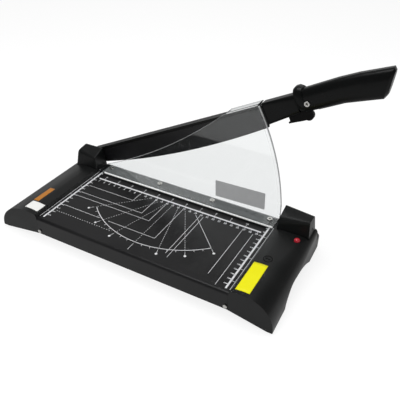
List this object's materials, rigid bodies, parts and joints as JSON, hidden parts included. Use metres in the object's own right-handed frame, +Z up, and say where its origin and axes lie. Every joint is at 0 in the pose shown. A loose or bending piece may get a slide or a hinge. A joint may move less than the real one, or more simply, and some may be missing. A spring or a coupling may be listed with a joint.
{
  "type": "lever-arm paper cutter",
  "caption": "Lever-arm paper cutter: folded bed with printed rulers, end caps, hinged blade arm with latch, clear guard that presses the paper, laser in the right tower.",
  "frame": {"origin": "on the table under the middle of the overall box at rest", "axes": "+X along the cut away from the hinge, +Y to the rear, +Z up"},
  "size_m": [0.5008, 0.2051, 0.2917],
  "materials": {
    "cap_plastic": "satin moulded black",
    "tower_plastic": "satin moulded black",
    "grip_plastic": "satin moulded black",
    "latch_plastic": "satin moulded black",
    "bed_paint": "satin charcoal paint",
    "arm_paint": "satin black paint",
    "blade_steel": "black oxide with a ground edge",
    "edge_steel": "ground",
    "strip_steel": "brushed",
    "clear_acrylic": "clear polished",
    "zinc_steel": "zinc plated",
    "spring_steel": "drawn wire",
    "bronze": "sintered",
    "nickel": "bright nickel",
    "rubber": "matt",
    "brass": "turned",
    "lens": "clear",
    "inner_plastic": "moulded",
    "board": "lacquered laminate",
    "cell_steel": "bright",
    "lead_sheath": "soft",
    "red_plastic": "gloss red",
    "cap_cover": "satin moulded black"
  },
  "bodies": {
    "base": {"bed_tray": "bed_paint", "counter_blade": "edge_steel", "counter_blade_screws": "zinc_steel", "left_cap": "cap_plastic", "right_cap": "cap_plastic", "hinge_tower": "tower_plastic", "laser_tower": "tower_plastic", "rubber_feet": "rubber", "lip_screws": "zinc_steel", "cap_screws": "zinc_steel", "pivot_plate": "zinc_steel", "pivot_plate_screws": "zinc_steel", "pivot_spacer": "zinc_steel", "pivot_bolt": "zinc_steel", "pivot_nut": "zinc_steel", "pivot_washers": "bronze", "clamp_spring_cups": "zinc_steel", "clamp_springs": "spring_steel", "latch_catch": "zinc_steel", "latch_catch_screws": "zinc_steel", "arm_bumper": "rubber", "laser_module": "brass", "laser_lens": "lens", "laser_cradle": "inner_plastic", "circuit_board": "board", "board_screws": "zinc_steel", "switch_body": "inner_plastic", "battery_holder": "inner_plastic", "button_cells": "cell_steel", "battery_contact": "spring_steel", "laser_leads": "lead_sheath"},
    "arm": {"arm_bar": "arm_paint", "blade": "blade_steel", "blade_screws": "zinc_steel", "pivot_bush": "bronze", "grip_front": "grip_plastic", "grip_rear": "grip_plastic", "grip_screws": "zinc_steel", "latch_screw": "nickel"},
    "latch": {"latch": "latch_plastic"},
    "clamp": {"guard": "clear_acrylic", "press_strip": "strip_steel", "guard_rivets": "nickel", "clamp_posts": "nickel"},
    "laser_button": {"laser_button": "red_plastic"},
    "battery_cap": {"battery_cap": "cap_cover"}
  },
  "joints": [
    {"name": "arm_hinge", "type": "hinge", "parent": "base", "child": "arm", "pos_m": [-0.20041, 0.0833, 0.048], "axis": [0, 1, 0], "range_deg": [0, 25.6]},
    {"name": "latch_turn", "type": "hinge", "parent": "arm", "child": "latch", "pos_m": [0.15422, 0.0853, 0.22757], "axis": [0, 1, 0], "range_deg": [-6, 4.8]},
    {"name": "clamp_press", "type": "slide", "parent": "base", "child": "clamp", "axis": [0, 0, -1], "range_m": [0, 0.0015], "stiffness_N_per_m": 3000, "springref_m": -0.002, "deforming": ["clamp_springs"]},
    {"name": "button_press", "type": "slide", "parent": "base", "child": "laser_button", "axis": [0, 0, -1], "range_m": [0, 0.0015], "stiffness_N_per_m": 800, "springref_m": -0.001},
    {"name": "battery_cap_turn", "type": "hinge", "parent": "base", "child": "battery_cap", "pos_m": [0.15959, -0.02295, 0.045], "axis": [0, 0, 1], "range_deg": [0, 60]}
  ]
}
